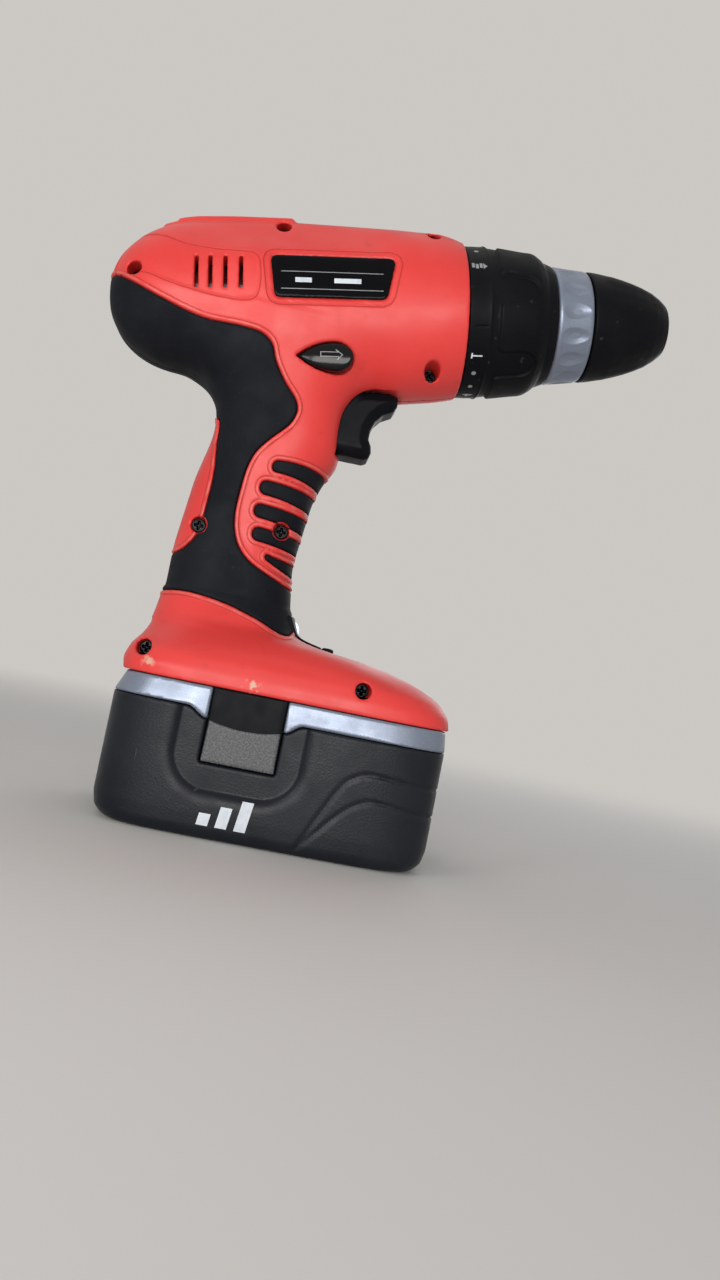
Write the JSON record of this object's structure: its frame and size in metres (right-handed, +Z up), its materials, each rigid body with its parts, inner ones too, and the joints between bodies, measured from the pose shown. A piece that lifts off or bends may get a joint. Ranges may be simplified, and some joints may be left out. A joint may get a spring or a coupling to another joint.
{
  "type": "cordless drill driver",
  "caption": "Pistol-grip cordless drill driver with a keyless chuck, a torque collar, a rubber-covered grip, a work light and a lift-off battery foot.",
  "frame": {"origin": "centre of the battery's flat underside, which the drill stands on", "axes": "+Z up from the underside; +X towards the chuck end; +Y towards the drill's left side. The barrel's axis lies in the XZ plane, passes through X 0.0349, Z 0.2007 and climbs forward at 11 degrees, along (0.981627, 0, 0.190809)"},
  "size_m": [0.2064, 0.08, 0.2311],
  "materials": {
    "red_plastic": "satin, finely textured",
    "rubber": "matte",
    "chuck_plastic": "matte",
    "battery_plastic": "grained",
    "silver_plastic": "satin metallic paint",
    "gloss_black": "glossy",
    "black_plastic": "satin",
    "steel": "machined",
    "dark_steel": "blackened",
    "copper": "wound wire on a core",
    "nylon": "matte",
    "cell_wrap": "film wrapped",
    "lamp_lens": "clear"
  },
  "bodies": {
    "battery": {"battery_case": "battery_plastic", "battery_cover": "silver_plastic", "cell_pack": "cell_wrap", "latch_spring_right": "steel", "latch_spring_left": "steel"},
    "latch_right": {"latch_right": "battery_plastic"},
    "latch_left": {"latch_left": "battery_plastic"},
    "housing": {"housing_right": "red_plastic", "housing_left": "red_plastic", "overmould_right": "rubber", "overmould_left": "rubber", "finger_pad_right": "rubber", "finger_pad_left": "rubber", "rating_label": "gloss_black", "housing_screw_1": "dark_steel", "housing_screw_2": "dark_steel", "housing_screw_3": "dark_steel", "housing_screw_4": "dark_steel", "housing_screw_5": "dark_steel", "housing_screw_6": "dark_steel", "housing_screw_7": "dark_steel", "housing_screw_8": "dark_steel", "motor_can": "steel", "motor_end_cap": "black_plastic", "gearbox_case": "nylon", "ring_gear_1": "steel", "spindle_bearing": "steel", "clutch_spring": "steel", "switch_body": "black_plastic", "trigger_spring": "steel", "contact_block": "black_plastic", "lamp_bezel": "black_plastic", "led_lens": "lamp_lens"},
    "trigger": {"trigger": "black_plastic"},
    "direction_selector": {"direction_selector": "gloss_black"},
    "speed_selector": {"speed_selector": "black_plastic", "shift_fork": "steel", "ring_gear_2": "steel"},
    "charge_button": {"charge_button": "black_plastic"},
    "torque_collar": {"torque_collar": "chuck_plastic"},
    "spindle": {"spindle": "steel", "chuck_body": "steel", "chuck_ring": "silver_plastic", "chuck_screw": "dark_steel"},
    "chuck_sleeve": {"front_sleeve": "chuck_plastic", "chuck_nut": "dark_steel"},
    "planet_carrier_1": {"planet_carrier_1": "steel"},
    "armature": {"armature": "copper", "cooling_fan": "black_plastic", "motor_pinion": "steel"},
    "jaw_1": {"jaw_1": "steel"},
    "jaw_2": {"jaw_2": "steel"},
    "jaw_3": {"jaw_3": "steel"},
    "planet_gear_1_1": {"planet_gear_1_1": "steel"},
    "planet_gear_1_2": {"planet_gear_1_2": "steel"},
    "planet_gear_1_3": {"planet_gear_1_3": "steel"},
    "planet_gear_2_1": {"planet_gear_2_1": "steel"},
    "planet_gear_2_2": {"planet_gear_2_2": "steel"},
    "planet_gear_2_3": {"planet_gear_2_3": "steel"}
  },
  "joints": [
    {"name": "drill_lift", "type": "slide", "parent": "battery", "child": "housing", "axis": [0, 0, 1], "range_m": [0, 0.055]},
    {"name": "latch_right_press", "type": "slide", "parent": "battery", "child": "latch_right", "axis": [0, 1, 0], "range_m": [0, 0.0023], "stiffness_N_per_m": 900, "springref_m": -0.003, "deforming": ["latch_spring_right"]},
    {"name": "latch_left_press", "type": "slide", "parent": "battery", "child": "latch_left", "axis": [0, -1, 0], "range_m": [0, 0.0023], "stiffness_N_per_m": 900, "springref_m": -0.003, "deforming": ["latch_spring_left"]},
    {"name": "trigger_pull", "type": "slide", "parent": "housing", "child": "trigger", "axis": [-1, 0, 0], "range_m": [0, 0.007], "stiffness_N_per_m": 600, "springref_m": -0.006, "deforming": ["trigger_spring"]},
    {"name": "direction_slide", "type": "slide", "parent": "housing", "child": "direction_selector", "axis": [0, 1, 0], "range_m": [-0.0025, 0.0025]},
    {"name": "speed_shift", "type": "slide", "parent": "housing", "child": "speed_selector", "axis": [-0.9816, 0, -0.1908], "range_m": [0, 0.005]},
    {"name": "charge_press", "type": "slide", "parent": "housing", "child": "charge_button", "axis": [0, 0, -1], "range_m": [0, 0.001], "stiffness_N_per_m": 500, "springref_m": -0.001},
    {"name": "torque_set", "type": "hinge", "parent": "housing", "child": "torque_collar", "pos_m": [0.04962, 0, 0.20356], "axis": [0.9816, 0, 0.1908], "range_deg": [-34, 262]},
    {"name": "spindle_turn", "type": "hinge", "parent": "housing", "child": "spindle", "pos_m": [0.07416, 0, 0.20833], "axis": [0.9816, 0, 0.1908], "continuous": true},
    {"name": "carrier_turn", "type": "hinge", "parent": "housing", "child": "planet_carrier_1", "pos_m": [0.00545, 0, 0.19498], "axis": [0.9816, 0, 0.1908], "continuous": true},
    {"name": "armature_turn", "type": "hinge", "parent": "housing", "child": "armature", "pos_m": [-0.024, 0, 0.18925], "axis": [0.9816, 0, 0.1908], "continuous": true},
    {"name": "chuck_open", "type": "hinge", "parent": "spindle", "child": "chuck_sleeve", "pos_m": [0.0938, 0, 0.21215], "axis": [0.9816, 0, 0.1908], "range_deg": [0, 2700]},
    {"name": "jaw_1_slide", "type": "slide", "parent": "spindle", "child": "jaw_1", "axis": [0.9925, 0, -0.1219], "range_m": [0, 0.015]},
    {"name": "jaw_2_slide", "type": "slide", "parent": "spindle", "child": "jaw_2", "axis": [0.9041, 0.2676, 0.3331], "range_m": [0, 0.015]},
    {"name": "jaw_3_slide", "type": "slide", "parent": "spindle", "child": "jaw_3", "axis": [0.9041, -0.2676, 0.3331], "range_m": [0, 0.015]},
    {"name": "planet_1_1_turn", "type": "hinge", "parent": "planet_carrier_1", "child": "planet_gear_1_1", "pos_m": [-0.00436, 0.01152, 0.19307], "axis": [0.9816, 0, 0.1908], "continuous": true},
    {"name": "planet_1_2_turn", "type": "hinge", "parent": "planet_carrier_1", "child": "planet_gear_1_2", "pos_m": [-0.00627, -0.00576, 0.20286], "axis": [0.9816, 0, 0.1908], "continuous": true},
    {"name": "planet_1_3_turn", "type": "hinge", "parent": "planet_carrier_1", "child": "planet_gear_1_3", "pos_m": [-0.00246, -0.00576, 0.18327], "axis": [0.9816, 0, 0.1908], "continuous": true},
    {"name": "planet_2_1_turn", "type": "hinge", "parent": "spindle", "child": "planet_gear_2_1", "pos_m": [0.01036, 0.01152, 0.19593], "axis": [0.9816, 0, 0.1908], "continuous": true},
    {"name": "planet_2_2_turn", "type": "hinge", "parent": "spindle", "child": "planet_gear_2_2", "pos_m": [0.00846, -0.00576, 0.20572], "axis": [0.9816, 0, 0.1908], "continuous": true},
    {"name": "planet_2_3_turn", "type": "hinge", "parent": "spindle", "child": "planet_gear_2_3", "pos_m": [0.01226, -0.00576, 0.18614], "axis": [0.9816, 0, 0.1908], "continuous": true}
  ],
  "couplings": [
    {"joint": "carrier_turn", "follows": "spindle_turn", "ratio": 4},
    {"joint": "armature_turn", "follows": "spindle_turn", "ratio": 16},
    {"joint": "jaw_1_slide", "follows": "chuck_open", "m_per_rad": 0.00031831},
    {"joint": "jaw_2_slide", "follows": "chuck_open", "m_per_rad": 0.00031831},
    {"joint": "jaw_3_slide", "follows": "chuck_open", "m_per_rad": 0.00031831},
    {"joint": "planet_1_1_turn", "follows": "spindle_turn", "ratio": -12},
    {"joint": "planet_1_2_turn", "follows": "spindle_turn", "ratio": -12},
    {"joint": "planet_1_3_turn", "follows": "spindle_turn", "ratio": -12},
    {"joint": "planet_2_1_turn", "follows": "spindle_turn", "ratio": -3},
    {"joint": "planet_2_2_turn", "follows": "spindle_turn", "ratio": -3},
    {"joint": "planet_2_3_turn", "follows": "spindle_turn", "ratio": -3}
  ]
}
